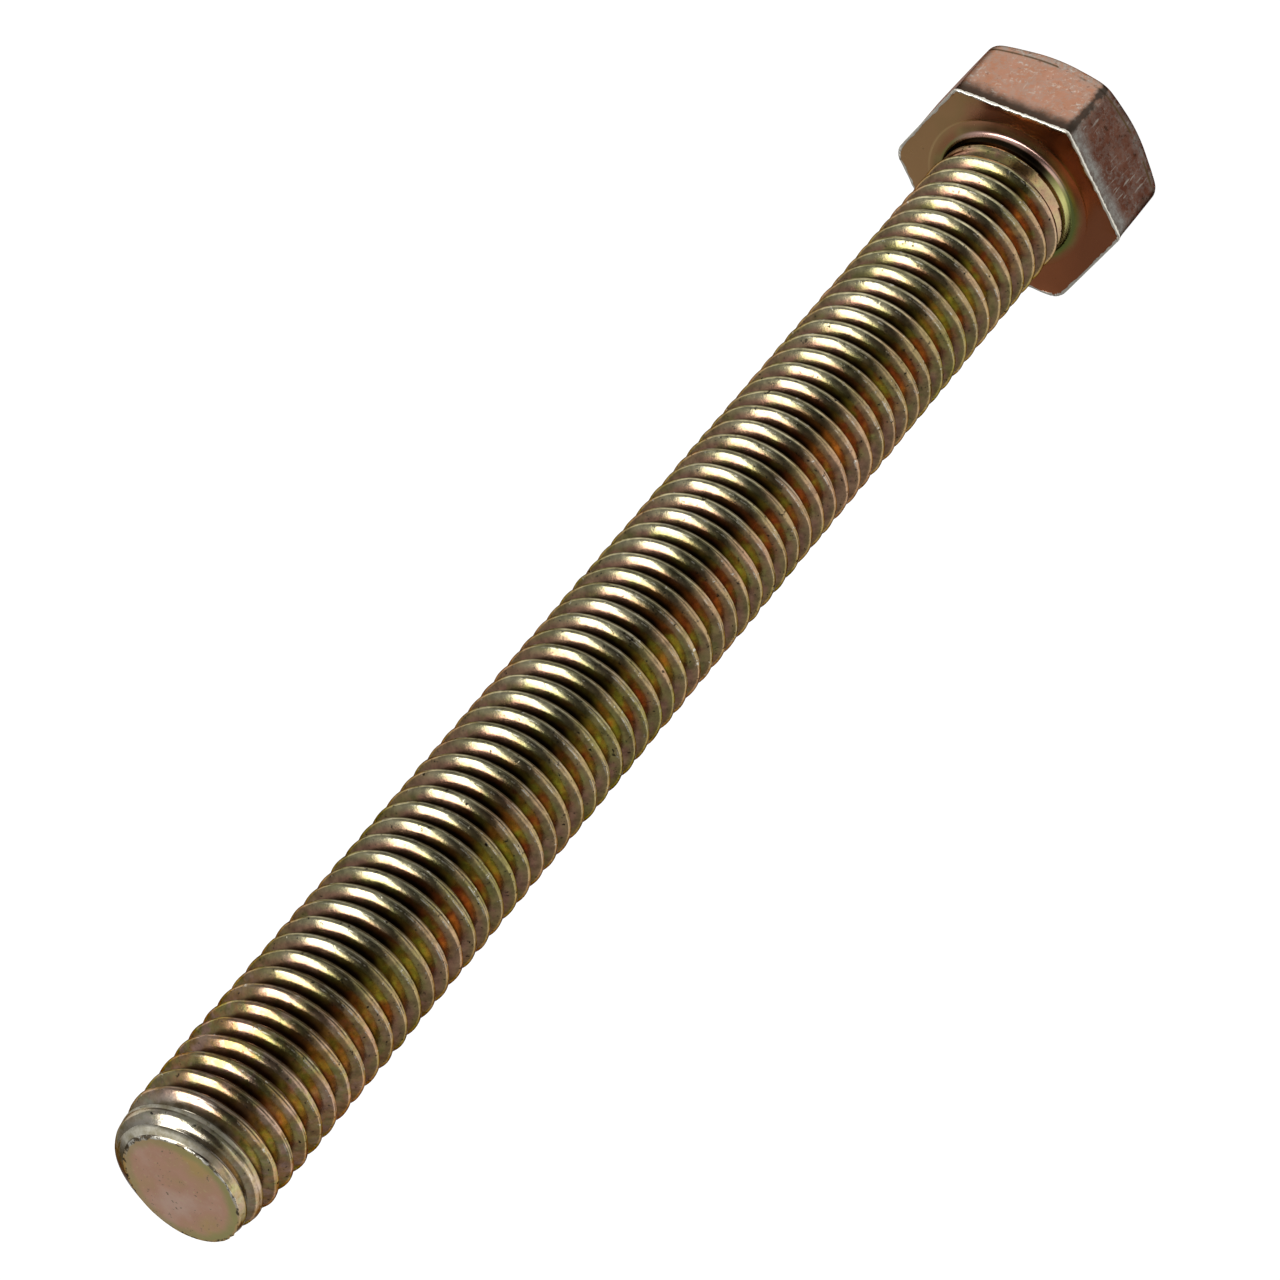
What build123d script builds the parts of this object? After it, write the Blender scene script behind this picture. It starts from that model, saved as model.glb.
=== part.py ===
from build123d import *
import math
import os

# Hex bolt, 1/2-13 UNC x 5 in, threaded along its whole shank, yellow zinc plated steel.
# Millimetres. The bearing face under the head lies on z = 0, and +Z runs down the shank to the tip.

# Thread
PITCH = 25.4 / 13
MAJOR_R = 6.3
CREST_WIDTH = PITCH / 8
ROOT_ROUNDING = 0.14434 * PITCH
THREAD_DEPTH = 0.6134 * PITCH
CREST_ANGLE_AT_TIP = 87.6
TURNS_IN_RUN_OUT = 3
TURNS_IN_MIDDLE = 58
TURNS_IN_POINT = 3

# Shank
SHANK_LENGTH = 126.4
TIP_FLAT_R = 4.97
POINT_SHOULDER_R = 5.75
POINT_SHOULDER_LENGTH = 0.8
POINT_LENGTH = 3.5
NECK_R = 5.75
NECK_END = 2.0
RUN_OUT_RISE = 1.0
RUN_OUT_DEPTH_LENGTH = 1.6
FILLET_RADIUS = 1.35

# Head
ACROSS_FLATS = 18.7
HEAD_HEIGHT = 7.94
TOP_CIRCLE_R = 8.9
CHAMFER_ANGLE = 30
HEAD_CORNER_ROUNDING = 0.4
BEARING_EDGE_ROUNDING = 0.3

MIDDLE_START = SHANK_LENGTH - (TURNS_IN_MIDDLE + TURNS_IN_POINT) * PITCH
POINT_START = SHANK_LENGTH - TURNS_IN_POINT * PITCH


def depth_below_crest(along):
    """How deep the thread form lies at a distance along the axis from a crest's middle."""
    from_crest = abs((along + PITCH / 2) % PITCH - PITCH / 2)
    from_groove = PITCH / 2 - from_crest
    if from_crest <= CREST_WIDTH / 2:
        return 0.0
    if from_groove < ROOT_ROUNDING * math.cos(math.radians(30)):
        return THREAD_DEPTH - ROOT_ROUNDING + math.sqrt(ROOT_ROUNDING**2 - from_groove**2)
    return (from_crest - CREST_WIDTH / 2) / math.tan(math.radians(30))


def section_point(along):
    """The point of the thread's flat cross-section that lies this far along the axis from a crest."""
    angle = 2 * math.pi * along / PITCH
    radius = MAJOR_R - depth_below_crest(along)
    return (radius * math.cos(angle), radius * math.sin(angle))


def section_curve(start, end, points=9):
    step = (end - start) / (points - 1)
    return Spline([section_point(start + i * step) for i in range(points)])


def thread_section():
    """The cross-section that makes the thread when it turns once for every pitch it rises."""
    crest_edge = CREST_WIDTH / 2
    root_edge = PITCH / 2 - ROOT_ROUNDING * math.cos(math.radians(30))
    crest = ThreePointArc(section_point(-crest_edge), section_point(0), section_point(crest_edge))
    lower_flank = section_curve(crest_edge, root_edge)
    root = section_curve(root_edge, PITCH - root_edge)
    upper_flank = section_curve(PITCH - root_edge, PITCH - crest_edge)
    return make_face([*crest.edges(), *lower_flank.edges(), *root.edges(), *upper_flank.edges()])


def one_turn(start):
    """One right-hand turn of thread, from a height along the axis to one pitch above it."""
    turn = Solid.extrude_linear_with_rotation(thread_section().face(), (0, 0, 0), (0, 0, PITCH), 360)
    crest_angle = CREST_ANGLE_AT_TIP + 360 * (start - SHANK_LENGTH) / PITCH
    return Pos(0, 0, start) * Rot(0, 0, crest_angle) * turn


def is_flat_at(face, height):
    return face.geom_type == GeomType.PLANE and abs(face.center().Z - height) < 1e-4


def side_faces(solid, *open_heights):
    """A solid's faces without the flat ones at the heights where it joins the next piece."""
    return [f for f in solid.faces() if not any(is_flat_at(f, h) for h in open_heights)]


def thread_faces(start, turns):
    """The outside of a stack of turns, open at both ends."""
    sides = side_faces(one_turn(start), start, start + PITCH)
    return [f.moved(Location((0, 0, i * PITCH))) for i in range(turns) for f in sides]


def threaded_rod(start, turns):
    """A stack of turns closed by a flat section at each end."""
    first = one_turn(start)
    last = one_turn(start + (turns - 1) * PITCH)
    bottom = [f for f in first.faces() if is_flat_at(f, start)]
    top = [f for f in last.faces() if is_flat_at(f, start + turns * PITCH)]
    return Solid(Shell(bottom + thread_faces(start, turns) + top))


def turned(*points):
    """A solid of revolution about Z, from points given as (radius, height)."""
    outline = Plane.XZ * Polygon(*points, align=None)
    return revolve(outline, Axis.Z)


def shank_point():
    """The tip: the last turns of thread, cut down by a blunt two-angle point."""
    envelope = turned(
        (0, POINT_START - 1),
        (MAJOR_R + 1, POINT_START - 1),
        (MAJOR_R + 1, SHANK_LENGTH - POINT_LENGTH),
        (MAJOR_R, SHANK_LENGTH - POINT_LENGTH),
        (POINT_SHOULDER_R, SHANK_LENGTH - POINT_SHOULDER_LENGTH),
        (TIP_FLAT_R, SHANK_LENGTH),
        (0, SHANK_LENGTH),
    )
    return threaded_rod(POINT_START, TURNS_IN_POINT + 1) & envelope


def run_out():
    """The first turns under the head, where crest and groove both fade into the plain neck."""
    rod = threaded_rod(MIDDLE_START - TURNS_IN_RUN_OUT * PITCH, TURNS_IN_RUN_OUT)
    crest_limit = turned(
        (0, NECK_END),
        (NECK_R, NECK_END),
        (MAJOR_R + 0.1, NECK_END + RUN_OUT_RISE),
        (MAJOR_R + 0.1, MIDDLE_START + 1),
        (0, MIDDLE_START + 1),
    )
    root_limit = turned(
        (0, 0),
        (NECK_R, 0),
        (NECK_R, NECK_END),
        (MAJOR_R - THREAD_DEPTH - 0.05, NECK_END + RUN_OUT_DEPTH_LENGTH),
        (0, NECK_END + RUN_OUT_DEPTH_LENGTH),
    )
    return (rod & crest_limit) + root_limit


def underhead_fillet():
    """The concave ring that joins the neck to the bearing face."""
    outer = NECK_R + FILLET_RADIUS
    across = math.sin(math.radians(45)) * FILLET_RADIUS
    curve = ThreePointArc((outer, 0), (outer - across, FILLET_RADIUS - across), (NECK_R, FILLET_RADIUS))
    wall = Polyline((NECK_R, FILLET_RADIUS), (0, FILLET_RADIUS), (0, -1), (outer, -1), (outer, 0))
    return revolve(Plane.XZ * make_face(curve.edges() + wall.edges()), Axis.Z)


def head():
    """The hexagon, with a corner on +X, rounded edges and a chamfered top."""
    hexagon = fillet(
        RegularPolygon(ACROSS_FLATS / 2, 6, major_radius=False).vertices(), HEAD_CORNER_ROUNDING
    )
    prism = extrude(hexagon, -HEAD_HEIGHT)
    prism = fillet(prism.faces().sort_by(Axis.Z)[-1].edges(), BEARING_EDGE_ROUNDING)
    rise = HEAD_HEIGHT + 1
    chamfer = turned(
        (0, -HEAD_HEIGHT),
        (TOP_CIRCLE_R, -HEAD_HEIGHT),
        (TOP_CIRCLE_R + rise / math.tan(math.radians(CHAMFER_ANGLE)), 1),
        (0, 1),
    )
    return prism & chamfer


def hex_bolt():
    """The head end, the long middle thread and the point, sewn into one solid."""
    head_end = head() + underhead_fillet() + run_out()
    middle = thread_faces(MIDDLE_START, TURNS_IN_MIDDLE)
    faces = side_faces(head_end, MIDDLE_START) + middle + side_faces(shank_point(), POINT_START)
    return Solid(Shell(faces))


os.makedirs("parts", exist_ok=True)
bolt = hex_bolt()
bolt.label = "hex_bolt"
export_step(bolt, "parts/hex_bolt.step")
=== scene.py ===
import math

import bpy
import numpy as np
from mathutils import Matrix, Vector


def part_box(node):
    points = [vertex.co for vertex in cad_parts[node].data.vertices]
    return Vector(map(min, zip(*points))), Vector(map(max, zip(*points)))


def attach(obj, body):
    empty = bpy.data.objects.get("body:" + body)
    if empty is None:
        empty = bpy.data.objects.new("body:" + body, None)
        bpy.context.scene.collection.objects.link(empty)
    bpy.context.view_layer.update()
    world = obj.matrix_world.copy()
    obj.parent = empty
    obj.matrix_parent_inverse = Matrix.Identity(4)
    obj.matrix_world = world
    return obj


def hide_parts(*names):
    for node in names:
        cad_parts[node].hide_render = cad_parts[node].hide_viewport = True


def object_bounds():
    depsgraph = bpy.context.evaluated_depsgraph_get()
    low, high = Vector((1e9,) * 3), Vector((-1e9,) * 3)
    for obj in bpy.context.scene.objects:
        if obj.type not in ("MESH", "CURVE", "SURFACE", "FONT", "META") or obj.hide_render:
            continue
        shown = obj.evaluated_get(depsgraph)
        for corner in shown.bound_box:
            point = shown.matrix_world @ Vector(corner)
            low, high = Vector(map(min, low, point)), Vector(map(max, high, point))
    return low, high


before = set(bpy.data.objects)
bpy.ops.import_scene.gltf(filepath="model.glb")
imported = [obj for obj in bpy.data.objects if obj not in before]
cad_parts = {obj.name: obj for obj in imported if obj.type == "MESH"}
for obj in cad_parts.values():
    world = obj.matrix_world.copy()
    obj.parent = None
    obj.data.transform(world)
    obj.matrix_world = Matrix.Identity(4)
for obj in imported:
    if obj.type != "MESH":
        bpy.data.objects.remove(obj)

CAD_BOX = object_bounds()
MM = 0.001

# The camera and the studio, in metres and radians, with the lens and the sensor in millimetres
CAMERA_AZIMUTH = math.radians(63.127)
CAMERA_ELEVATION = math.radians(37.046)
CAMERA_ROLL = math.radians(139.976)
CAMERA_DISTANCE = 0.54876
CAMERA_TARGET = Vector((0.4 * MM, -0.2 * MM, 60.7 * MM))
CAMERA_LENS = 196.23
CAMERA_SENSOR_WIDTH = 36
BOLT_MIDDLE = Vector((0, 0, 0.06))
LIGHT_DISTANCE = 1.0
FLOOR_REACH = 3.0
FLOOR_GREY = (0.12, 0.12, 0.12)
CARD_GREY = (0.05, 0.045, 0.04)

# The bolt, in millimetres. The bearing face lies on z = 0 and the tip points to +Z.
LOW, HIGH = (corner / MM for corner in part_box("hex_bolt"))
SHANK_LENGTH = HIGH.z
HEAD_HEIGHT = -LOW.z
HALF_ACROSS_FLATS = HIGH.y
PITCH = 25.4 / 13
MAJOR_R = 6.3
CREST_WIDTH = PITCH * 0.27
CREST_SOFTNESS = 0.46
HEAD_SIDE_SOFTNESS = 0.26
THREAD_DEPTH = 0.6134 * PITCH
ROOT_R = MAJOR_R - THREAD_DEPTH
ROOT_SOFTNESS = 0.35
CREST_ANGLE_AT_TIP = math.radians(87.6)
CREST_WAVINESS = 0.02

NECK_R = 5.75
NECK_TOP = 1.9
CREST_RUN_OUT_SLOPE = 0.75
ROOT_RUN_OUT_SLOPE = 0.45
RUN_OUT_SOFTNESS = 0.12
FILLET_HEIGHT = 1.35
FILLET_STEEP_SLOPE = 2.14
FILLET_GENTLE_SLOPE = 0.18
FILLET_END_R = 7.4
FILLET_SOFTNESS = 0.15
RING_MARK_DEPTH = 0.03
RING_MARK_SOFTNESS = 0.04

POINT_SHOULDER_R = 5.78
POINT_SHOULDER_LENGTH = 0.8
POINT_LENGTH = 3.6
TIP_FLAT_R = 4.97
TIP_FLAT_SHIFT = 0.72
TIP_RIM_HEIGHT = 0.06
TIP_RIM_DENTS = (-0.09, 0.04)
THREAD_END_BELOW_TIP = 0.12
POINT_SHOULDER_SOFTNESS = 0.25
POINT_CREST_SOFTNESS = 0.08

FLAT_INSET = 0.1
FLARE_HEIGHT = 1.2
BURR_WIDTH = 0.42
BURR_HEIGHT = 0.07
BURR_RAGGEDNESS = 0.07
BEARING_EDGE_DROP = 0.04
CORNER_ROUNDING = 0.7
BLUNT_CORNER_ROUNDING = 1.9
TOP_CORNER_ROUNDING = 1.4
TOP_CIRCLE_R = 8.9
CHAMFER_SLOPE = math.tan(math.radians(30))
CHAMFER_BLEND = 0.6
CHAMFER_BLEND_SHARE = 0.85

# Mesh density. Rings are radii in mm or shares of what they divide, and insets are mm inside the rim.
ROWS_PER_PITCH = 14
ROW_CROWDING = 0.55
ROW_MARGIN = 0.02
SHANK_COLUMNS = 96
FLAT_COLUMNS = 32
NEAR_CORNER_DEGREES = (0, 0.6, 1.2, 1.9, 2.7, 3.7)
FILLET_RINGS = (5.85, 6.0, 6.12, 6.2, 6.26, 6.32, 6.38, 6.48, 6.65, 6.9, 7.15, FILLET_END_R)
FLARE_RINGS = (0.08, 0.2, 0.4, 0.65, 1.0)
FLAT_RINGS = (0.08, 0.25, 0.5, 0.75, 0.92, 1.0)
CHAMFER_EDGE_RINGS = 6
CHAMFER_RINGS = (0.25, 0.6, 0.9, 1.0)
HEAD_TOP_RINGS = (8.75, 8.2, 6.5, 4, 2)
TIP_INSETS = (0.03, 0.15, 0.9, 2.4, 4)
TIP_DENTED_WIDTH = 0.5

random_numbers = np.random.default_rng(7)


def soft_min(a, b, softness):
    """The smaller of a and b, with the corner between them rounded over about the softness."""
    share = np.clip(0.5 + 0.5 * (b - a) / softness, 0, 1)
    return b + (a - b) * share - softness * share * (1 - share)


def soft_max(a, b, softness):
    return -soft_min(-a, -b, softness)


def shank_angles():
    return np.arange(SHANK_COLUMNS) * 2 * math.pi / SHANK_COLUMNS


def head_angles():
    """Angles round the head, spread along each flat and crowded at the six corners."""
    near_corner = np.radians(NEAR_CORNER_DEGREES)
    in_between = FLAT_COLUMNS - 2 * len(near_corner) + 1
    middle = np.linspace(near_corner[-1], math.pi / 3 - near_corner[-1], in_between + 2)[1:-1]
    one_flat = np.concatenate([near_corner, middle, math.pi / 3 - near_corner[:0:-1]])
    return np.concatenate([one_flat + k * math.pi / 3 for k in range(6)])


SHANK_ANGLES = shank_angles()
HEAD_ANGLES = head_angles()


def ripple(angle, height, waves=9):
    """A smooth random value from about -1 to 1 over the angle and the height."""
    total = 0 * angle + 0 * height
    for _ in range(waves):
        turns = random_numbers.integers(2, 14)
        climb = random_numbers.normal(0, 1.2)
        start = random_numbers.uniform(0, 2 * math.pi)
        total = total + np.sin(turns * angle + climb * height + start)
    return total / math.sqrt(waves)


def from_nearest_crest(z, angle):
    """Distance along the axis from the middle of the nearest crest, positive on its tip side."""
    crest_z = SHANK_LENGTH + PITCH * (angle - CREST_ANGLE_AT_TIP) / (2 * math.pi)
    return (z - crest_z + PITCH / 2) % PITCH - PITCH / 2


def thread_depth(from_crest):
    """Depth of the rolled thread below its crest, at a distance along the axis from the crest's middle."""
    flank = (np.abs(from_crest) - CREST_WIDTH / 2) * math.sqrt(3)
    softness = np.where(from_crest > 0, CREST_SOFTNESS, HEAD_SIDE_SOFTNESS)
    depth = soft_max(0 * flank, flank, softness)
    return soft_min(depth, THREAD_DEPTH + 0 * depth, ROOT_SOFTNESS)


def tip_flat_radius(angle):
    """Distance from the axis to the rim of the tip's flat face, which sits off centre towards +X."""
    return TIP_FLAT_R + TIP_FLAT_SHIFT * np.cos(angle)


def point_radius(z, angle):
    """The blunt point that limits the thread near the tip."""
    below = SHANK_LENGTH - z
    flat = tip_flat_radius(angle)
    cone = flat + below * (POINT_SHOULDER_R - flat) / POINT_SHOULDER_LENGTH
    rise = (MAJOR_R - POINT_SHOULDER_R) / (POINT_LENGTH - POINT_SHOULDER_LENGTH)
    taper = POINT_SHOULDER_R + (below - POINT_SHOULDER_LENGTH) * rise
    return soft_min(cone, taper, POINT_SHOULDER_SOFTNESS)


def shank_radius(z, angle):
    """Radius of the threaded shank, with the run-out at the neck and the blunt point at the tip."""
    radius = MAJOR_R - thread_depth(from_nearest_crest(z, angle))
    radius = soft_min(radius, point_radius(z, angle), POINT_CREST_SOFTNESS)
    crest_limit = NECK_R + (z - NECK_TOP) * CREST_RUN_OUT_SLOPE
    root_limit = NECK_R - (z - NECK_TOP) * ROOT_RUN_OUT_SLOPE
    radius = soft_min(radius, crest_limit, RUN_OUT_SOFTNESS)
    return soft_max(radius, root_limit, RUN_OUT_SOFTNESS)


def row_steps():
    """Row positions inside one pitch, crowded at the crest and at the root."""
    t = np.arange(ROWS_PER_PITCH) / ROWS_PER_PITCH
    return t - ROW_CROWDING * np.sin(4 * math.pi * t) / (4 * math.pi)


THREAD, BEARING, SIDES, HEAD_TOP, TIP = range(5)
MEASURES = ("rise", "from_crest", "from_corner", "from_bearing", "from_top", "from_rim")


class Skin:
    """The bolt's outer skin, gathered ring by ring, with the measures that the materials use.

    The rise goes from 0 at the thread's root to 1 at its crest, and the other measures are in mm.
    """

    def __init__(self):
        self.points, self.faces, self.kinds = [], [], []
        self.measures = {name: [] for name in MEASURES}

    def add_points(self, radius, height, angles, **measures):
        first = len(self.points)
        radius, height, angles = np.broadcast_arrays(radius, height, angles)
        xyz = np.stack([radius * np.cos(angles), radius * np.sin(angles), height], -1).reshape(-1, 3)
        self.points.extend(xyz.tolist())
        for name in MEASURES:
            values = np.broadcast_to(measures.get(name, 0.0), radius.shape)
            self.measures[name].extend(values.ravel().tolist())
        return np.arange(first, first + len(xyz))

    def add_face(self, corners, kind):
        corners = list(dict.fromkeys(int(c) for c in corners))
        if len(corners) > 2:
            self.faces.append(corners)
            self.kinds.append(kind)

    def bridge(self, lower, upper, kind):
        """Quads between two rings of the same number of points."""
        for j in range(len(lower)):
            k = (j + 1) % len(lower)
            self.add_face((lower[j], lower[k], upper[k], upper[j]), kind)

    def bridge_to_double(self, fine, coarse, kind):
        """Triangles from a ring up to one that has half as many points."""
        for j in range(len(coarse)):
            k = (j + 1) % len(coarse)
            start, middle, end = fine[2 * j], fine[2 * j + 1], fine[(2 * j + 2) % len(fine)]
            self.add_face((start, middle, coarse[j]), kind)
            self.add_face((middle, coarse[k], coarse[j]), kind)
            self.add_face((middle, end, coarse[k]), kind)

    def cap(self, ring, height, kind, facing_up, **measures):
        centre = self.add_points(0.0, height, np.zeros(1), **measures)[0]
        for j in range(len(ring)):
            a, b = ring[j], ring[(j + 1) % len(ring)]
            self.add_face((a, b, centre) if facing_up else (b, a, centre), kind)


def rise_of(radius):
    """0 at the thread's root, 1 at its crest."""
    return np.clip((radius - ROOT_R) / (MAJOR_R - ROOT_R), 0, 1)


def add_thread(skin, bottom, top):
    """The helical rows between two flat rings, which are returned."""
    low_radius = shank_radius(bottom + 0 * SHANK_ANGLES, SHANK_ANGLES)
    high_radius = shank_radius(top + 0 * SHANK_ANGLES, SHANK_ANGLES)
    low_ring = skin.add_points(low_radius, bottom, SHANK_ANGLES, rise=rise_of(low_radius))
    high_ring = skin.add_points(high_radius, top, SHANK_ANGLES, rise=rise_of(high_radius))
    turns = math.ceil((top - bottom) / PITCH) + 2
    steps = (np.arange(turns)[:, None] + row_steps()[None, :]).ravel() - 1
    start = SHANK_LENGTH - PITCH * CREST_ANGLE_AT_TIP / (2 * math.pi)
    start -= PITCH * math.ceil((start - bottom) / PITCH)
    z = start + PITCH * (steps[:, None] + SHANK_ANGLES[None, :] / (2 * math.pi))
    angle = np.broadcast_to(SHANK_ANGLES[None, :], z.shape)
    radius = shank_radius(z, angle)
    rise = rise_of(radius)
    radius = radius - CREST_WAVINESS * rise**4 * (1 + ripple(angle, z))
    below, above = z < bottom + ROW_MARGIN, z > top - ROW_MARGIN
    inside = ~(below | above)
    index = np.where(below, low_ring[None, :], high_ring[None, :])
    index[inside] = skin.add_points(radius[inside], z[inside], angle[inside], rise=rise[inside],
                                    from_crest=from_nearest_crest(z, angle)[inside])
    join_rows(skin, index)
    return low_ring, high_ring


def join_rows(skin, index):
    """Quads between the helical rows, whose last column meets the first column one pitch higher."""
    rows, columns = index.shape
    for i in range(rows - 1):
        for j in range(columns - 1):
            skin.add_face((index[i, j], index[i, j + 1], index[i + 1, j + 1], index[i + 1, j]), THREAD)
        higher = i + ROWS_PER_PITCH
        if higher + 1 < rows:
            seam = (index[i, -1], index[higher, 0], index[higher + 1, 0], index[i + 1, -1])
            skin.add_face(seam, THREAD)


def from_corner_angle():
    """Signed angle from the nearest corner of the hexagon to each head angle."""
    return (HEAD_ANGLES + math.pi / 6) % (math.pi / 3) - math.pi / 6


def corner_rounding():
    """Rounding of the corner next to each head angle: the corners on the -X and -Y sides are blunter."""
    corner = np.round(HEAD_ANGLES / (math.pi / 3)) % 6
    return np.where(corner < 3, CORNER_ROUNDING, BLUNT_CORNER_ROUNDING)


def hexagon_radius(inset=0.0, rounding=None):
    """Distance from the axis to the hexagon's side at each head angle, with rounded corners."""
    rounding = corner_rounding() if rounding is None else rounding
    flat = HALF_ACROSS_FLATS - inset
    off_angle = from_corner_angle()
    sharp = flat / np.cos(math.pi / 6 - np.abs(off_angle))
    corner = (flat - rounding) / math.cos(math.pi / 6)
    off = corner * np.sin(off_angle)
    arc = corner * np.cos(off_angle) + np.sqrt(np.maximum(rounding**2 - off**2, 0))
    near = np.abs(off_angle) < np.arcsin(rounding * 0.5 / corner)
    return np.where(near, np.minimum(sharp, arc), sharp)


def fillet_height(radius):
    """A steep fillet at the neck that turns quickly into a gentle slope on the bearing face."""
    steep = FILLET_HEIGHT - (radius - NECK_R) * FILLET_STEEP_SLOPE
    gentle = (FILLET_END_R - radius) * FILLET_GENTLE_SLOPE - RING_MARK_DEPTH
    slope = soft_max(steep, gentle, FILLET_SOFTNESS)
    return soft_max(slope, -RING_MARK_DEPTH, RING_MARK_SOFTNESS)


def add_fillet(skin, neck_ring):
    """The fillet from the neck out to the bearing face."""
    ring = neck_ring
    spread = HEAD_ANGLES[::2]
    for radius in FILLET_RINGS:
        share = (radius - NECK_R) / (FILLET_END_R - NECK_R)
        angles = SHANK_ANGLES * (1 - share) + spread * share
        outer = skin.add_points(radius, fillet_height(radius), angles, rise=0.5)
        skin.bridge(outer, ring, BEARING)
        ring = outer
    return ring


def add_bearing_face(skin, fillet_ring):
    """The bearing face, with a faint turned ring round the fillet and a burr along its edge."""
    corner = np.abs(from_corner_angle()) * HALF_ACROSS_FLATS
    burr = BURR_HEIGHT * random_numbers.uniform(0.1, 2.2, len(HEAD_ANGLES))
    ragged = random_numbers.uniform(-BURR_RAGGEDNESS, BURR_RAGGEDNESS, len(HEAD_ANGLES))
    edge = hexagon_radius(BURR_WIDTH)
    rings = [
        (FILLET_END_R + 0.06, -RING_MARK_DEPTH, 2.0),
        (FILLET_END_R + 0.16, -RING_MARK_DEPTH * 0.3, 2.0),
        (FILLET_END_R + 0.3, 0, 2.0),
        (np.minimum(FILLET_END_R + 1.2, edge - 0.2), 0, 1.0),
        (edge, 0, 0.3),
        (hexagon_radius(BURR_WIDTH * 0.55) + ragged, burr * 0.6, 0.1),
        (hexagon_radius(BURR_WIDTH * 0.25) + ragged * 0.5, burr, 0.0),
        (hexagon_radius(BURR_WIDTH * 0.05), burr * 0.6, 0.0),
        (hexagon_radius(), -BEARING_EDGE_DROP, 0.0),
    ]
    ring = fillet_ring
    for number, (radius, height, from_bearing) in enumerate(rings):
        outer = skin.add_points(radius, height, HEAD_ANGLES, from_corner=corner,
                                from_bearing=from_bearing, rise=1)
        kind = BEARING if number < len(rings) - 3 else SIDES
        if number == 0:
            skin.bridge_to_double(outer, ring, kind)
        else:
            skin.bridge(outer, ring, kind)
        ring = outer
    return ring


def add_side_ring(skin, ring, radius, height, from_top):
    """One more ring of the head's sides, joined to the ring before it."""
    corner = np.abs(from_corner_angle()) * HALF_ACROSS_FLATS
    outer = skin.add_points(radius, height, HEAD_ANGLES, from_corner=corner, from_bearing=-height,
                            from_top=from_top)
    skin.bridge(outer, ring, SIDES)
    return outer


def add_sides(skin, edge_ring):
    """The six flats, flared out to the burr, down to the chamfer at the head's top."""
    flat = hexagon_radius(FLAT_INSET, TOP_CORNER_ROUNDING)
    low = -HEAD_HEIGHT + (flat - TOP_CIRCLE_R) * CHAMFER_SLOPE + CHAMFER_BLEND
    ring = edge_ring
    for share in FLARE_RINGS:
        height = -FLARE_HEIGHT * share
        radius = hexagon_radius(FLAT_INSET * (1 - (1 - share) ** 3))
        ring = add_side_ring(skin, ring, radius, height, height - low + CHAMFER_BLEND)
    for share in FLAT_RINGS:
        height = -FLARE_HEIGHT + (low + FLARE_HEIGHT) * share
        rounding = corner_rounding() * (1 - share**2) + TOP_CORNER_ROUNDING * share**2
        radius = hexagon_radius(FLAT_INSET, rounding)
        ring = add_side_ring(skin, ring, radius, height, height - low + CHAMFER_BLEND)
    return add_chamfer_edge(skin, ring, flat, low)


def add_chamfer_edge(skin, ring, flat, low):
    """The rounded edge between the flats and the chamfer. Returns the chamfer's outer radius as well."""
    reach = np.minimum(CHAMFER_BLEND, (flat - TOP_CIRCLE_R) * CHAMFER_BLEND_SHARE)
    for share in np.linspace(0, 1, CHAMFER_EDGE_RINGS + 1)[1:]:
        along = CHAMFER_BLEND * (share * 2 - 1)
        inset = soft_max(0.0, along, CHAMFER_BLEND) * reach / CHAMFER_BLEND
        height = low - CHAMFER_BLEND - np.where(along > 0, inset * CHAMFER_SLOPE, along)
        ring = add_side_ring(skin, ring, flat - inset, height, -along)
    return ring, flat - reach


def add_head_top(skin, chamfer_ring, chamfer_radius):
    """The 30 degree chamfer and the flat top."""
    ring = chamfer_ring
    for share in CHAMFER_RINGS:
        radius = chamfer_radius + (TOP_CIRCLE_R - chamfer_radius) * share
        height = -HEAD_HEIGHT + (radius - TOP_CIRCLE_R) * CHAMFER_SLOPE
        outer = skin.add_points(radius, height, HEAD_ANGLES)
        skin.bridge(outer, ring, HEAD_TOP)
        ring = outer
    for radius in HEAD_TOP_RINGS:
        outer = skin.add_points(radius, -HEAD_HEIGHT, HEAD_ANGLES)
        skin.bridge(outer, ring, HEAD_TOP)
        ring = outer
    skin.cap(ring, -HEAD_HEIGHT, HEAD_TOP, facing_up=False)


def add_tip(skin, rim_ring):
    """The flat tip face inside its worn rim."""
    ring = rim_ring
    dents = random_numbers.uniform(*TIP_RIM_DENTS, SHANK_COLUMNS)
    rim = [(-0.07, TIP_RIM_HEIGHT), (-0.03, TIP_RIM_HEIGHT / 2)]
    face = [(inset, 0) for inset in TIP_INSETS]
    for inset, drop in rim + face:
        height = SHANK_LENGTH - drop * np.maximum(1 + dents / TIP_RIM_HEIGHT, 0)
        radius = tip_flat_radius(SHANK_ANGLES) * (1 - inset / TIP_FLAT_R)
        if inset < TIP_DENTED_WIDTH:
            radius = radius + dents
        inner = skin.add_points(radius, height, SHANK_ANGLES, rise=1, from_rim=max(inset, 0))
        skin.bridge(ring, inner, TIP)
        ring = inner
    skin.cap(ring, SHANK_LENGTH, TIP, facing_up=True, from_rim=TIP_FLAT_R)


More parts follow.
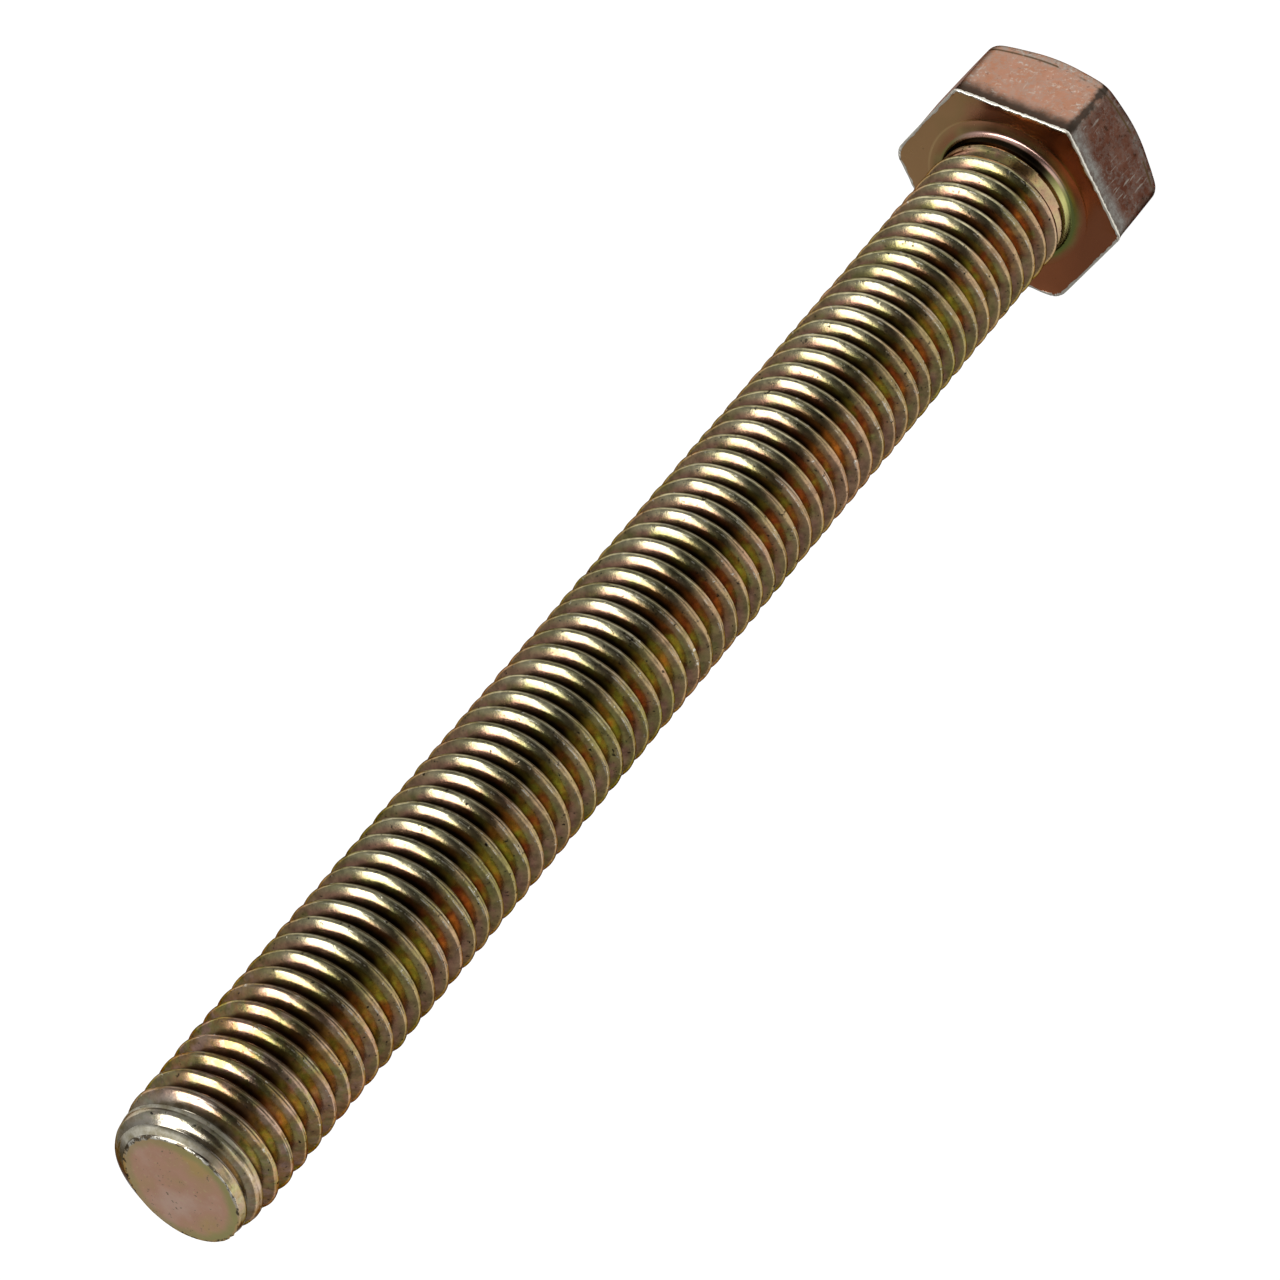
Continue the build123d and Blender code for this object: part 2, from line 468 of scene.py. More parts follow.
def build_bolt(materials):
    """The bolt as one watertight mesh, with the measures as point attributes."""
    skin = Skin()
    neck_ring, rim_ring = add_thread(skin, FILLET_HEIGHT, SHANK_LENGTH - THREAD_END_BELOW_TIP)
    edge_ring = add_bearing_face(skin, add_fillet(skin, neck_ring))
    add_head_top(skin, *add_sides(skin, edge_ring))
    add_tip(skin, rim_ring)
    data = bpy.data.meshes.new("bolt_skin")
    data.from_pydata((np.array(skin.points) * MM).tolist(), [], skin.faces)
    for material in materials:
        data.materials.append(material)
    data.polygons.foreach_set("material_index", np.array(skin.kinds, np.int32))
    data.polygons.foreach_set("use_smooth", np.ones(len(data.polygons), bool))
    for name, values in skin.measures.items():
        data.attributes.new(name, "FLOAT", "POINT").data.foreach_set("value", np.array(values, np.float32))
    data.update()
    bolt = bpy.data.objects.new("bolt_skin", data)
    bpy.context.scene.collection.objects.link(bolt)
    return bolt


class Nodes:
    """Short ways to add shader nodes to one material."""

    def __init__(self, name):
        self.material = bpy.data.materials.new(name)
        self.material.use_nodes = True
        self.tree = self.material.node_tree
        self.shader = self.tree.nodes["Principled BSDF"]
        self.place = self.add("ShaderNodeTexCoord").outputs["Object"]

    def add(self, kind, **settings):
        node = self.tree.nodes.new(kind)
        for name, value in settings.items():
            setattr(node, name, value)
        return node

    def link(self, source, target):
        self.tree.links.new(source, target)

    def set(self, socket, value):
        """Give a socket another socket's output, a colour or a number."""
        if hasattr(value, "is_linked"):
            self.link(value, socket)
        elif isinstance(value, tuple):
            socket.default_value = (*value, 1)
        else:
            socket.default_value = value

    def measure(self, name):
        """One of the skin's measures."""
        return self.add("ShaderNodeAttribute", attribute_name=name).outputs["Fac"]

    def axis(self, letter):
        """One of the object's coordinates, in metres."""
        split = self.add("ShaderNodeSeparateXYZ")
        self.link(self.place, split.inputs[0])
        return split.outputs[letter]

    def radius(self):
        """Distance from the bolt's axis, in metres."""
        squares = [self.math("POWER", self.axis(letter), 2.0) for letter in "XY"]
        return self.math("SQRT", self.plus(*squares))

    def facing(self, degrees):
        """1 on the side of the bolt at this azimuth, -1 on the far side."""
        azimuth = math.radians(degrees)
        x = self.both(self.axis("X"), math.cos(azimuth))
        y = self.both(self.axis("Y"), math.sin(azimuth))
        return self.math("DIVIDE", self.plus(x, y), self.radius())

    def stretched(self, stretch, turn):
        """Object coordinates turned and scaled, so that a noise on them makes streaks."""
        mapping = self.add("ShaderNodeMapping")
        mapping.inputs["Scale"].default_value = stretch
        mapping.inputs["Rotation"].default_value = turn
        self.link(self.place, mapping.inputs["Vector"])
        return mapping.outputs["Vector"]

    def noise(self, scale, detail=3, roughness=0.55, place=None):
        node = self.add("ShaderNodeTexNoise")
        node.inputs["Scale"].default_value = scale
        node.inputs["Detail"].default_value = detail
        node.inputs["Roughness"].default_value = roughness
        self.link(place or self.place, node.inputs["Vector"])
        return node.outputs["Fac"]

    def rings(self, scale):
        """Fine turned rings round the axis."""
        node = self.add("ShaderNodeTexNoise", noise_dimensions="1D")
        node.inputs["Scale"].default_value = scale
        node.inputs["Detail"].default_value = 4
        self.link(self.radius(), node.inputs["W"])
        return node.outputs["Fac"]

    def band(self, source, start, full, last_full, end):
        """0 outside the start and the end, and 1 between the two full values."""
        return self.both(self.fade(source, start, full), self.fade(source, end, last_full))

    def fade(self, source, start, end):
        """0 where the source is at the start, rising smoothly to 1 at the end."""
        node = self.add("ShaderNodeMapRange", interpolation_type="SMOOTHSTEP")
        self.link(source, node.inputs["Value"])
        node.inputs["From Min"].default_value = min(start, end)
        node.inputs["From Max"].default_value = max(start, end)
        node.inputs["To Min"].default_value = 0 if start < end else 1
        node.inputs["To Max"].default_value = 1 if start < end else 0
        return node.outputs["Result"]

    def ramp(self, source, *stops):
        """A colour ramp through stops of a position and a colour or a grey level."""
        node = self.add("ShaderNodeValToRGB")
        elements = node.color_ramp.elements
        while len(elements) < len(stops):
            elements.new(0.5)
        for element, (position, colour) in zip(elements, stops):
            element.position = position
            element.color = (*colour, 1) if isinstance(colour, tuple) else (colour, colour, colour, 1)
        self.link(source, node.inputs["Fac"])
        return node.outputs["Color"]

    def mix(self, factor, a, b, blend="MIX"):
        node = self.add("ShaderNodeMix", data_type="RGBA", blend_type=blend)
        for socket, value in zip((node.inputs[0], node.inputs[6], node.inputs[7]), (factor, a, b)):
            self.set(socket, value)
        return node.outputs[2]

    def math(self, operation, a, b=0.0):
        node = self.add("ShaderNodeMath", operation=operation)
        self.set(node.inputs[0], a)
        self.set(node.inputs[1], b)
        return node.outputs[0]

    def plus(self, a, b):
        return self.math("ADD", a, b)

    def without(self, a):
        return self.math("SUBTRACT", 1.0, a)

    def both(self, a, b):
        return self.math("MULTIPLY", a, b)

    def either(self, a, b):
        return self.math("MAXIMUM", a, b)

    def bump(self, height, strength, distance):
        node = self.add("ShaderNodeBump")
        node.inputs["Strength"].default_value = strength
        node.inputs["Distance"].default_value = distance * MM
        self.link(height, node.inputs["Height"])
        self.link(node.outputs["Normal"], self.shader.inputs["Normal"])

    def finish(self, colour, roughness):
        self.link(colour, self.shader.inputs["Base Color"])
        self.link(roughness, self.shader.inputs["Roughness"])
        self.shader.inputs["Metallic"].default_value = 1.0
        self.shader.inputs["Specular Tint"].default_value = (*EDGE_TINT, 1)
        return self.material


# Colours of yellow zinc plating, from its thin green and gold to its thick pink and rust, some also used to
# paint highlights, reflections and shade
STRAW = (0.66, 0.60, 0.38)
GREEN_STRAW = (0.50, 0.47, 0.24)
TAWNY = (0.48, 0.35, 0.18)
OLIVE = (0.36, 0.31, 0.12)
MOSS = (0.47, 0.46, 0.14)
FOREST = (0.24, 0.27, 0.07)
DARK_GREEN = (0.22, 0.25, 0.08)
LIME = (0.64, 0.62, 0.24)
SALMON = (0.47, 0.25, 0.17)
ROSE = (0.54, 0.34, 0.21)
PINK = (0.80, 0.50, 0.42)
PEACH = (0.92, 0.56, 0.40)
SHELL = (1.0, 0.70, 0.56)
ORANGE = (0.62, 0.34, 0.12)
RUST = (0.42, 0.18, 0.09)
DARK_RUST = (0.24, 0.11, 0.055)
TAN = (0.88, 0.58, 0.36)
# A tan for the neck's painted reflection.
NECK_REFLECTION_TAN = (0.70, 0.50, 0.34)
GOLD = (0.86, 0.61, 0.29)
GREEN_GOLD = (0.62, 0.58, 0.26)
PALE_GOLD = (1.0, 0.82, 0.45)
BRONZE = (0.20, 0.13, 0.05)
# Dark maroons for the painted shade on the +X flat.
SHADE_MAROON = (0.10, 0.042, 0.028)
PALE_SHADE_MAROON = (0.14, 0.068, 0.048)
UMBER = (0.09, 0.06, 0.03)
# Near black, for dirt specks and pits, and for painted shade in the roots and inside the fillet.
SOOT_AND_SHADE = (0.02, 0.014, 0.008)
EDGE_TINT = (0.13, 0.09, 0.06)

# Worn zinc and the dirt in its pits, darker copies for the +X flat's painted shade, painted shade for the
# band beside the burr, and a dark for the corners
BARE_ZINC = (0.76, 0.73, 0.64)
COLLAR_ZINC = (0.72, 0.70, 0.60)
GREEN_ZINC = (0.40, 0.37, 0.26)
GREY_ZINC = (0.36, 0.33, 0.29)
SHADED_SCRATCH_ZINC = (0.34, 0.32, 0.28)
BAND_ZINC = (0.24, 0.235, 0.215)
SHADED_SPECK_ZINC = (0.22, 0.20, 0.175)
SHADED_ZINC = (0.16, 0.14, 0.125)
TIP_DIRT = (0.4, 0.3, 0.2)
SIDE_DIRT = (0.2, 0.12, 0.09)
RIM_DIRT = (0.16, 0.13, 0.09)
# Painted shade for the band beside the burr.
BAND_SHADE = (0.06, 0.046, 0.036)
CORNER_DARK = (0.035, 0.028, 0.022)

# The bearing face, from -X to +X
CARAMEL = (0.58, 0.34, 0.16)
TOFFEE = (0.54, 0.33, 0.15)
TERRACOTTA = (0.60, 0.26, 0.15)
BRICK = (0.46, 0.16, 0.07)
RUSSET = (0.35, 0.125, 0.06)

# Sides of the bolt, as azimuths in degrees
# The side where the key light is mirrored, given a painted straw highlight tint.
STRAW_HIGHLIGHT_SIDE = 95
ORANGE_SIDE = 46
# The side of the shank given painted shade in its roots and on its crests' head-side shoulders.
SHADED_THREAD_SIDE = 103
WORN_CREST_SIDE = 63
LIT_COLLAR_SIDE = 125
# The side of the neck with a painted tan reflection.
NECK_REFLECTION_SIDE = 0
# The side with the green patch, the green arc and the painted lime reflection on the fillet.
GREEN_FILLET_SIDE = -15
# The side where the fillet's arc gets a painted pink highlight.
PINK_ARC_SIDE = 78
# The side where the turned ring gets a painted gold highlight.
RING_HIGHLIGHT_SIDE = 115
DARK_CORNER_SIDE = 60
ZINC_RIM_SIDE = 85


def crest_colour(n, near_tip):
    """Rose, tawny and olive patches, with a straw streak along the side of the shank where the key light is
    mirrored, as a painted highlight tint.
    """
    patches = n.ramp(n.noise(120, 4, 0.6), (0.36, ROSE), (0.5, TAWNY), (0.62, OLIVE))
    straw = n.ramp(n.noise(260, 4, 0.6), (0.42, STRAW), (0.66, GREEN_STRAW))
    # Painted highlight tint: the straw streak follows the side where the key light is mirrored.
    highlight_streak = n.plus(n.facing(STRAW_HIGHLIGHT_SIDE), n.both(n.noise(60, 3, 0.6), 0.4))
    highlight_streak = n.both(n.fade(highlight_streak, 0.92, 1.12), n.without(near_tip))
    return n.mix(highlight_streak, patches, straw)


def flank_colour(n):
    """Orange, rust and moss on one side of the shank, and rose, salmon and olive elsewhere."""
    lit = n.ramp(n.noise(170, 4, 0.65), (0.36, ORANGE), (0.46, RUST), (0.55, MOSS), (0.66, ORANGE))
    far = n.ramp(n.noise(210, 4, 0.65), (0.38, ROSE), (0.5, SALMON), (0.62, OLIVE))
    return n.mix(n.fade(n.facing(ORANGE_SIDE), 0.7, 0.92), far, lit)


def tip_flank_colour(n):
    """Pink, orange and moss patches on the last turns."""
    return n.ramp(n.noise(330, 4, 0.65), (0.38, PINK), (0.48, ORANGE), (0.56, MOSS), (0.64, PINK))


def darken_roots(n, colour, rise, near_tip, shaded_side):
    """Brown roots all round, with painted shade that darkens them further, to near black, on one side of the
    shank.
    """
    root = n.either(n.both(n.fade(rise, 0.5, 0.2), shaded_side), n.fade(rise, 0.3, 0.05))
    brown = n.mix(near_tip, n.mix(shaded_side, BRONZE, UMBER), DARK_RUST)
    # Painted shade: near-black roots on the shaded side of the shank, weaker near the tip.
    root_shade = n.both(shaded_side, n.math("SUBTRACT", 0.55, n.both(near_tip, 0.5)))
    colour = n.mix(root, colour, brown)
    return n.mix(n.both(n.fade(rise, 0.3, 0.1), root_shade), colour, SOOT_AND_SHADE)


def crest_wear(n, rise, from_crest):
    """Patches where the crest's tip-side edge is worn to bare zinc, and fainter ones on its top."""
    edge = n.both(n.band(from_crest, 0.16, 0.21, 0.24, 0.29), n.fade(n.facing(WORN_CREST_SIDE), 0.5, 0.75))
    top = n.both(n.fade(rise, 0.95, 1.0), 0.3)
    return n.both(n.fade(n.noise(520, 5, 0.8), 0.49, 0.63), n.either(edge, top))


def add_collar(n, colour, rise):
    """Worn grey zinc on the point, with more zinc painted on its lit side as a painted highlight."""
    point = n.fade(n.axis("Z"), 0.1226, 0.1236)
    last_crest = n.both(n.fade(n.axis("Z"), 0.119, 0.123), n.both(rise, 0.35))
    # Painted highlight: more bright zinc on the lit side.
    lit_side = n.fade(n.facing(LIT_COLLAR_SIDE), 0.1, 0.8)
    amount = n.both(n.either(point, last_crest), n.plus(0.35, n.both(lit_side, 0.35)))
    return n.mix(amount, colour, n.ramp(n.noise(900, 4, 0.7), (0.35, GREEN_ZINC), (0.6, COLLAR_ZINC)))


def add_thread_marks(n, colour, rise, from_crest):
    """The rolling seam along the crests, a painted tan reflection on one side of the neck, and dark specks.
    """
    seam = n.both(n.fade(n.math("ABSOLUTE", from_crest), 0.1, 0.03), n.fade(n.noise(260, 4, 0.7), 0.42, 0.6))
    colour = n.mix(n.both(seam, 0.7), colour, UMBER)
    # Painted reflection: a tan band on one side of the neck.
    neck_reflection = n.both(n.fade(n.axis("Z"), 0.0036, 0.0028), n.fade(n.facing(NECK_REFLECTION_SIDE), 0.3, 0.8))
    colour = n.mix(n.both(neck_reflection, 0.45), colour, NECK_REFLECTION_TAN)
    specks = n.both(n.fade(n.noise(2300, 3, 0.7), 0.62, 0.69), n.fade(rise, 0.3, 0.7))
    return n.mix(specks, colour, SOOT_AND_SHADE)


def thread_plating():
    """Rose crests with a straw streak on one side as a painted highlight tint, rust flanks, dark roots with
    painted shade on one side, painted shade on the crests' head-side shoulders there, and worn crest edges.
    """
    n = Nodes("thread_plating")
    rise = n.measure("rise")
    from_crest = n.measure("from_crest")
    near_tip = n.fade(n.plus(n.axis("Z"), n.both(n.noise(50), 0.05)), 0.12, 0.15)
    shaded_side = n.fade(n.facing(SHADED_THREAD_SIDE), 0.45, 0.75)
    # Painted shade on the head-side shoulder of each crest, on the shaded side, to dim its pale grazing
    # reflection.
    crest_shoulder_shade = n.both(n.fade(from_crest, -0.04, -0.16), shaded_side)
    wear = crest_wear(n, rise, from_crest)
    nicks = n.both(n.fade(rise, 0.75, 0.95), n.fade(n.noise(1500, 3, 0.75), 0.64, 0.7))
    mottle = n.ramp(n.noise(1100, 4, 0.7), (0.35, 0.5), (0.6, 1.0))
    colour = n.mix(n.fade(rise, 0.5, 0.95), flank_colour(n), crest_colour(n, near_tip))
    colour = n.mix(n.both(near_tip, 0.6), colour, tip_flank_colour(n))
    colour = darken_roots(n, colour, rise, near_tip, shaded_side)
    # Painted shade on the crests' head-side shoulders.
    colour = n.mix(n.both(crest_shoulder_shade, 0.85), colour, UMBER)
    colour = n.mix(0.8, colour, mottle, "MULTIPLY")
    colour = n.mix(n.both(n.either(wear, nicks), 0.75), colour, BARE_ZINC)
    colour = add_collar(n, colour, rise)
    colour = add_thread_marks(n, colour, rise, from_crest)
    rough = n.plus(n.both(n.noise(600, 4, 0.6), 0.14), 0.13)
    rough = n.plus(rough, n.plus(n.both(wear, 0.15), n.both(crest_shoulder_shade, 0.5)))
    n.bump(n.math("SUBTRACT", n.noise(3600, 4, 0.65), nicks), 0.5, 0.02)
    return n.finish(colour, rough)


def paint_fillet(n, colour, radius):
    """A mottled slope with a dark green patch on one side, a painted highlight on the arc where the fillet
    turns, painted shade inside the arc with a painted lime reflection on one side, and a faint turned ring
    with a painted gold highlight on one side.
    """
    right = n.fade(n.facing(GREEN_FILLET_SIDE), 0.35, 0.85)
    slope = n.fade(n.plus(radius, n.both(n.noise(200), 0.5)), 7.7, 7.0)
    mottle = n.ramp(n.noise(120), (0.4, UMBER), (0.52, OLIVE), (0.62, RUST))
    colour = n.mix(n.both(slope, 0.6), colour, mottle)
    colour = n.mix(n.both(n.fade(radius, 7.0, 6.4), right), colour, FOREST)
    # Painted highlight: the arc where the fillet turns, pink on one side, dark green on another and olive
    # elsewhere.
    arc_colour = n.mix(n.fade(n.facing(PINK_ARC_SIDE), 0.3, 0.8), OLIVE, PINK)
    arc = n.band(radius, 6.12, 6.2, 6.4, 6.6)
    colour = n.mix(arc, colour, n.mix(right, arc_colour, DARK_GREEN))
    # Painted shade inside the arc, with a painted lime reflection on the green side.
    colour = n.mix(n.fade(radius, 6.2, 6.12), colour, n.mix(right, SOOT_AND_SHADE, LIME))
    # A painted gold highlight along the turned ring, on one side only.
    ring_line = n.both(n.band(radius, 7.42, 7.5, 7.55, 7.7), n.fade(n.facing(RING_HIGHLIGHT_SIDE), 0.0, 0.7))
    return n.mix(n.both(ring_line, 0.45), colour, GOLD)


def bearing_plating():
    """Light brown that turns to russet across the face, with a mottled fillet that carries painted highlights
    and shade, and fine turned rings.
    """
    n = Nodes("bearing_plating")
    across = n.plus(n.both(n.axis("X"), 40.0), n.both(n.noise(160, 3, 0.5), 0.5))
    colour = n.ramp(across, (0.0, CARAMEL), (0.06, TOFFEE), (0.16, TERRACOTTA), (0.36, BRICK), (0.6, RUSSET))
    colour = paint_fillet(n, colour, n.both(n.radius(), 1 / MM))
    colour = n.mix(n.fade(n.noise(1700, 3, 0.7), 0.69, 0.75), colour, SOOT_AND_SHADE)
    rough = n.plus(n.both(n.noise(500, 4, 0.6), 0.12), 0.2)
    n.bump(n.plus(n.both(n.rings(1900), 0.3), n.noise(2600, 3, 0.6)), 0.25, 0.01)
    return n.finish(colour, rough)


def side_wear(n, blotch, patch, grain, from_corner, from_top):
    """Where the flats are worn: near the top and the corners, and in frosted patches and veins."""
    near_top = n.fade(n.plus(from_top, n.both(blotch, -2.2)), 0.7, -0.6)
    near_top = n.both(near_top, n.fade(grain, 0.35, 0.6))
    near_corner = n.fade(n.plus(from_corner, n.both(blotch, -2.2)), 0.3, -0.8)
    near_corner = n.both(near_corner, n.fade(grain, 0.4, 0.6))
    frost = n.both(n.fade(grain, 0.45, 0.62), n.plus(0.3, n.fade(patch, 0.42, 0.6)))
    veins = n.fade(n.math("ABSOLUTE", n.math("SUBTRACT", n.noise(420, 5, 0.75), 0.5)), 0.05, 0.0)
    patches = n.both(n.either(frost, veins), 0.42)
    return n.either(n.either(near_top, n.both(near_corner, 0.7)), patches)


def side_scratches(n, patch, shaded_flat):
    """Long scratches up the flats, strongest on the +X flat."""
    streaks = n.noise(420, 3, 0.5, n.stretched((8, 8, 1), (0.14, 0.1, 0)))
    streaks = n.both(n.fade(streaks, 0.6, 0.68), n.fade(patch, 0.42, 0.6))
    return n.both(streaks, n.plus(0.2, n.both(shaded_flat, 0.35)))


def add_side_grains(n, colour, patch, shaded_flat):
    """Pale specks and dark pits, with darker copies on the +X flat as painted shade."""
    specks = n.both(n.fade(n.noise(3000, 5, 0.8), 0.52, 0.64), n.fade(n.noise(600, 3, 0.6), 0.42, 0.6))
    colour = n.mix(n.both(specks, 0.5), colour, n.mix(shaded_flat, BARE_ZINC, SHADED_SPECK_ZINC))
    pits = n.both(n.fade(n.noise(1900, 4, 0.7), 0.4, 0.34), n.fade(patch, 0.6, 0.45))
    return n.mix(n.both(pits, 0.6), colour, n.mix(shaded_flat, SIDE_DIRT, SOOT_AND_SHADE))


def add_side_edges(n, colour, blotch, patch, grain, shaded_flat, from_corner, from_bearing, from_top):
    """A band beside the burr, in painted shade on most flats and in grey zinc on the +X flat, a thin line
    below the top, corners darkened most at one corner, and the burr in bare zinc.
    """
    # Painted shade: a dark band beside the burr, with grey zinc in its place on the +X flat.
    band = n.fade(n.plus(from_bearing, n.both(blotch, -1.6)), 1.3, -0.1)
    grey = n.mix(n.fade(grain, 0.4, 0.6), SHADED_ZINC, BAND_ZINC)
    colour = n.mix(n.both(band, 0.95), colour, n.mix(shaded_flat, BAND_SHADE, grey))
    line = n.both(n.band(from_top, 0.65, 0.78, 0.86, 1.0), n.fade(patch, 0.36, 0.46))
    colour = n.mix(n.both(line, 0.85), colour, UMBER)
    # Darker at the corners, most at one corner.
    corner = n.fade(n.plus(from_corner, n.both(blotch, 1.4)), 1.25, 0.8)
    darkest_corner = n.plus(n.both(n.fade(n.facing(DARK_CORNER_SIDE), 0.8, 0.95), 0.6), 0.32)
    colour = n.mix(n.both(corner, darkest_corner), colour, CORNER_DARK)
    burr = n.fade(n.plus(from_bearing, n.both(n.noise(2300, 3, 0.6), 0.6)), 0.5, 0.42)
    return n.mix(burr, colour, BARE_ZINC)


def side_plating():
    """Salmon flats, with the +X flat painted dark maroon as painted shade, and grey frosting, scratches, dark
    corners and a worn burr.
    """
    n = Nodes("side_plating")
    from_corner = n.measure("from_corner")
    from_bearing = n.measure("from_bearing")
    from_top = n.measure("from_top")
    blotch = n.noise(520, 5, 0.7)
    patch = n.noise(230, 4, 0.6)
    grain = n.noise(1500, 5, 0.8)
    # Painted shade: the +X flat is painted dark maroon, and its wear, scratches, specks and pits get darker
    # copies.
    shaded_flat = n.fade(n.axis("X"), 0.0052, 0.0058)
    salmon = n.mix(n.both(n.fade(blotch, 0.35, 0.65), 0.5), SALMON, RUST)
    shaded_maroon = n.mix(n.fade(blotch, 0.4, 0.65), SHADE_MAROON, PALE_SHADE_MAROON)
    worn = side_wear(n, blotch, patch, grain, from_corner, from_top)
    scratches = side_scratches(n, patch, shaded_flat)
    colour = n.mix(shaded_flat, salmon, shaded_maroon)
    colour = n.mix(n.both(worn, 0.85), colour, n.mix(shaded_flat, GREY_ZINC, SHADED_ZINC))
    colour = add_side_grains(n, colour, patch, shaded_flat)
    colour = n.mix(scratches, colour, n.mix(shaded_flat, BARE_ZINC, SHADED_SCRATCH_ZINC))
    colour = add_side_edges(n, colour, blotch, patch, grain, shaded_flat, from_corner, from_bearing, from_top)
    rough = n.plus(n.both(n.noise(900, 4, 0.7), 0.22), 0.27)
    n.bump(n.math("SUBTRACT", n.noise(1400, 5, 0.7), scratches), 0.5, 0.02)
    return n.finish(colour, rough)


def head_top_plating():
    """Salmon, rose and olive patches, half worn to grey."""
    n = Nodes("head_top_plating")
    colour = n.ramp(n.noise(200, 5, 0.6), (0.35, SALMON), (0.5, ROSE), (0.65, OLIVE))
    worn = n.fade(n.noise(900, 5, 0.8), 0.52, 0.68)
    colour = n.mix(n.both(worn, 0.5), colour, GREY_ZINC)
    rough = n.plus(n.both(n.noise(700, 4, 0.6), 0.2), 0.25)
    n.bump(n.noise(1300, 5, 0.7), 0.5, 0.02)
    return n.finish(colour, rough)


def add_tip_rim(n, colour, from_rim):
    """A greenish border inside a ragged rim of bare zinc and gold."""
    border = n.fade(n.plus(from_rim, n.both(n.noise(350, 3, 0.6), -1.4)), 0.3, -0.4)
    right = n.fade(n.axis("X"), -0.002, 0.004)
    colour = n.mix(n.both(border, n.plus(0.5, n.both(right, 0.4))), colour, GREEN_GOLD)
    rim = n.fade(n.plus(from_rim, n.both(n.noise(1800, 4, 0.7), 0.55)), 0.42, 0.32)
    rim_colour = n.mix(n.fade(n.facing(ZINC_RIM_SIDE), -0.1, 0.5), GOLD, BARE_ZINC)
    rim_colour = n.mix(n.fade(n.noise(1300, 3, 0.7), 0.5, 0.42), rim_colour, RIM_DIRT)
    return n.mix(rim, colour, rim_colour)


def tip_plating():
    """Tan, pink and gold mottled plating with a greenish border and a worn rim."""
    n = Nodes("tip_plating")
    tone = n.plus(n.noise(230, 3, 0.5), n.both(n.noise(1500, 4, 0.75), 0.25))
    tone = n.plus(tone, n.both(n.axis("Y"), -18.0))
    colour = n.ramp(tone, (0.44, GOLD), (0.54, TAN), (0.64, PEACH), (0.84, SHELL))
    grains = n.fade(n.noise(3000, 3, 0.7), 0.6, 0.68)
    colour = n.mix(n.both(grains, 0.5), colour, PALE_GOLD)
    colour = n.mix(n.fade(n.noise(2100, 3, 0.7), 0.36, 0.3), colour, TIP_DIRT)
    colour = add_tip_rim(n, colour, n.measure("from_rim"))
    rough = n.plus(n.both(n.noise(900, 4, 0.6), 0.12), 0.34)
    n.bump(n.noise(2400, 4, 0.7), 0.35, 0.015)
    return n.finish(colour, rough)


def make_materials():
    """The skin's materials, in the order of the kinds of face."""
    return [thread_plating(), bearing_plating(), side_plating(), head_top_plating(), tip_plating()]


def add_camera():
    """A long lens above the tip's side, turned so that the tip points down and to the left."""
    across = math.cos(CAMERA_ELEVATION)
    back = Vector((across * math.cos(CAMERA_AZIMUTH), across * math.sin(CAMERA_AZIMUTH),
                   math.sin(CAMERA_ELEVATION)))
    level = back.to_track_quat("Z", "Y").to_matrix()
    turn = level @ Matrix.Rotation(-CAMERA_ROLL, 3, "Z")
    data = bpy.data.cameras.new("camera")
    data.lens = CAMERA_LENS
    data.sensor_width = CAMERA_SENSOR_WIDTH
    data.clip_start = 0.01
    data.clip_end = 20
    camera = bpy.data.objects.new("camera", data)
    camera.matrix_world = Matrix.Translation(CAMERA_TARGET + back * CAMERA_DISTANCE) @ turn.to_4x4()
    bpy.context.scene.collection.objects.link(camera)
    bpy.context.scene.camera = camera
    return camera


def place_panel(camera, panel, direction, long_axis):
    """Put a panel at a direction seen from the camera (right, up, toward), facing the bolt."""
    axes = camera.matrix_world.to_3x3()
    out = (axes @ Vector(direction)).normalized()
    side = axes @ Vector(long_axis)
    side = (side - out * side.dot(out)).normalized()
    turn = Matrix((out.cross(side) * -1, side, out)).transposed()
    panel.matrix_world = Matrix.Translation(BOLT_MIDDLE + out * LIGHT_DISTANCE) @ turn.to_4x4()
    bpy.context.scene.collection.objects.link(panel)


def add_softbox(camera, name, direction, long_axis, width, length, radiance):
    """A white rectangular light, whose power follows from its radiance and its size."""
    data = bpy.data.lights.new(name, "AREA")
    data.shape = "RECTANGLE"
    data.size = width
    data.size_y = length
    data.energy = radiance * math.pi * width * length
    place_panel(camera, bpy.data.objects.new(name, data), direction, long_axis)


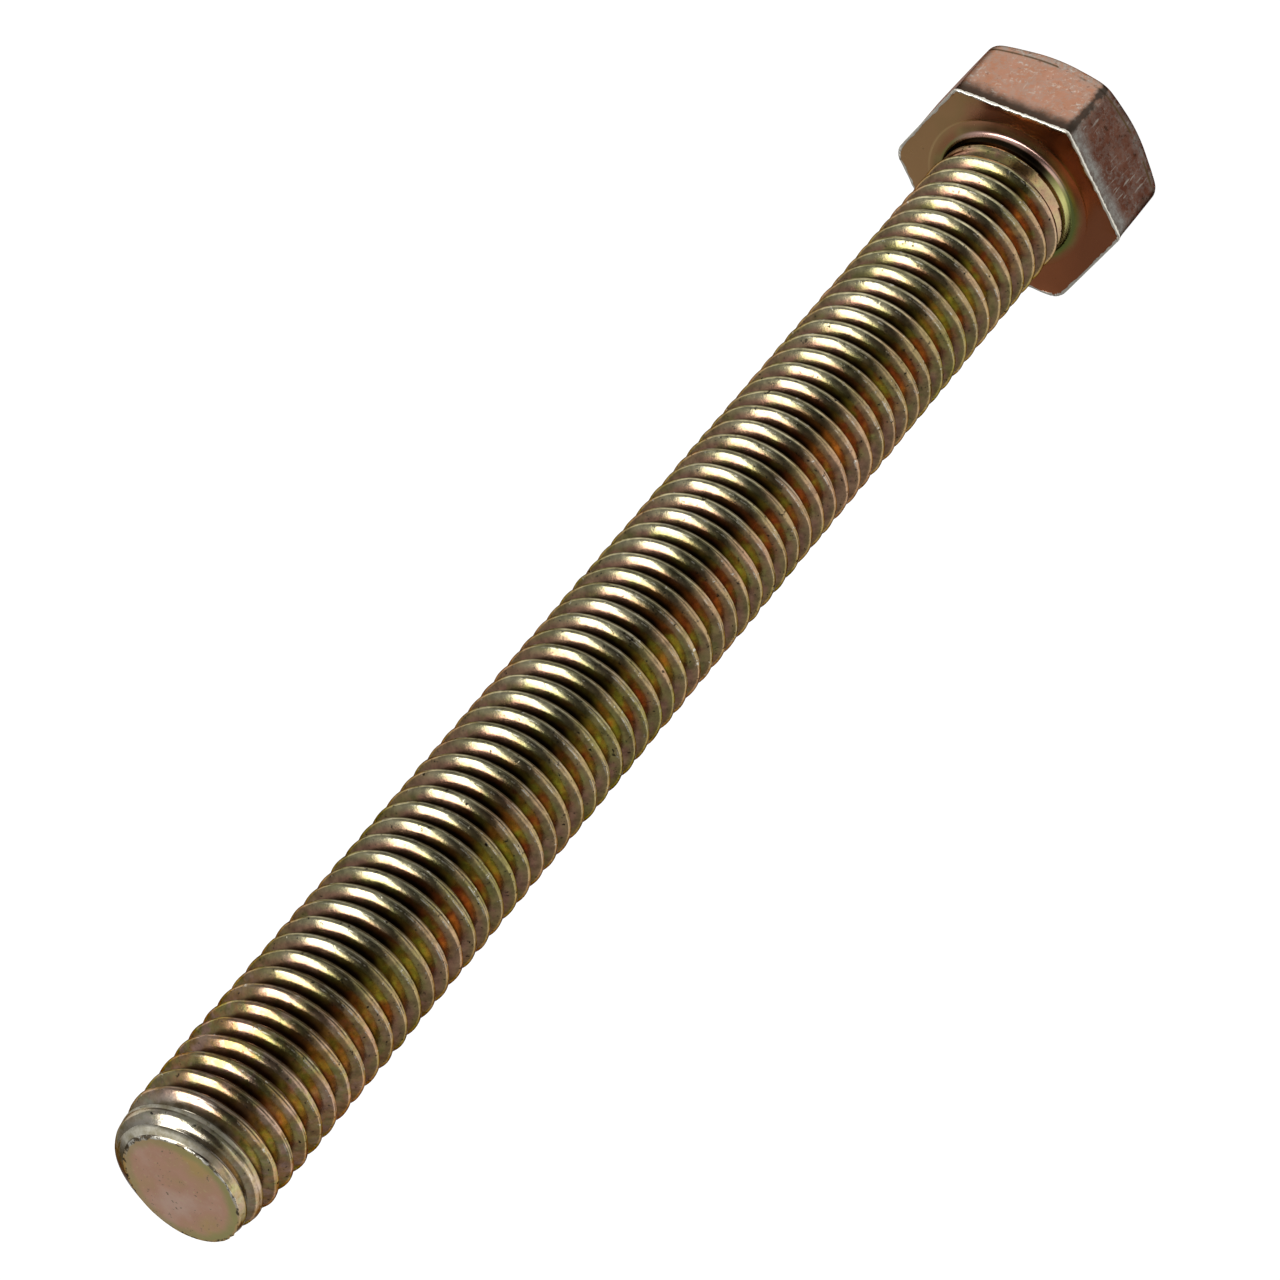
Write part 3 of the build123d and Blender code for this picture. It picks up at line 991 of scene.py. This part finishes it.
def make_sheet(name, half_width, half_length, z=0.0):
    """A flat rectangle as an object, not linked to the scene yet."""
    x, y = half_width, half_length
    data = bpy.data.meshes.new(name)
    data.from_pydata([(-x, -y, z), (x, -y, z), (x, y, z), (-x, y, z)], [], [(0, 1, 2, 3)])
    return bpy.data.objects.new(name, data)


def matt(n, colour):
    """A matt material, finished without metal."""
    n.shader.inputs["Base Color"].default_value = (*colour, 1)
    n.shader.inputs["Roughness"].default_value = 1
    n.shader.inputs["Specular IOR Level"].default_value = 0
    return n.material


def add_dark_card(camera, direction, long_axis, width, length):
    """A dark card behind the camera, which the metal mirrors as a dark band."""
    card = make_sheet("dark_card", width / 2, length / 2)
    card.data.materials.append(matt(Nodes("dark_card_cloth"), CARD_GREY))
    place_panel(camera, card, direction, long_axis)
    card.visible_camera = False


def add_floor():
    """A glowing sheet under the head, white where the camera sees it and dimmer towards +Y."""
    floor = make_sheet("floor", FLOOR_REACH, FLOOR_REACH, CAD_BOX[0][2])
    n = Nodes("floor_paper")
    white = (1.0, 1.0, 1.0)
    glow = n.ramp(n.both(n.axis("Y"), 5.0), (0.22, white), (0.6, FLOOR_GREY))
    n.shader.inputs["Emission Strength"].default_value = 1.0
    n.link(glow, n.shader.inputs["Emission Color"])
    floor.data.materials.append(matt(n, FLOOR_GREY))
    bpy.context.scene.collection.objects.link(floor)


def add_world(level):
    """Even white light from all round."""
    world = bpy.data.worlds.new("studio")
    world.use_nodes = True
    world.node_tree.nodes["Background"].inputs["Color"].default_value = (1, 1, 1, 1)
    world.node_tree.nodes["Background"].inputs["Strength"].default_value = level
    bpy.context.scene.world = world


def main():
    bolt = build_bolt(make_materials())
    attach(bolt, "root")
    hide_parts("hex_bolt")
    camera = add_camera()
    add_softbox(camera, "key", direction=(-0.74, 0.0, 0.67), long_axis=(0.16, 0.97, -0.18),
                width=0.58, length=1.15, radiance=5.0)
    add_softbox(camera, "fill", direction=(0.85, -0.15, 0.5), long_axis=(0.3, 0.9, 0),
                width=1.2, length=1.2, radiance=0.6)
    add_dark_card(camera, direction=(0.05, 0.1, 0.99), long_axis=(0.45, 0.89, 0), width=0.6, length=2.2)
    add_floor()
    add_world(level=0.3)
    bpy.context.scene.view_settings.view_transform = "Standard"


main()
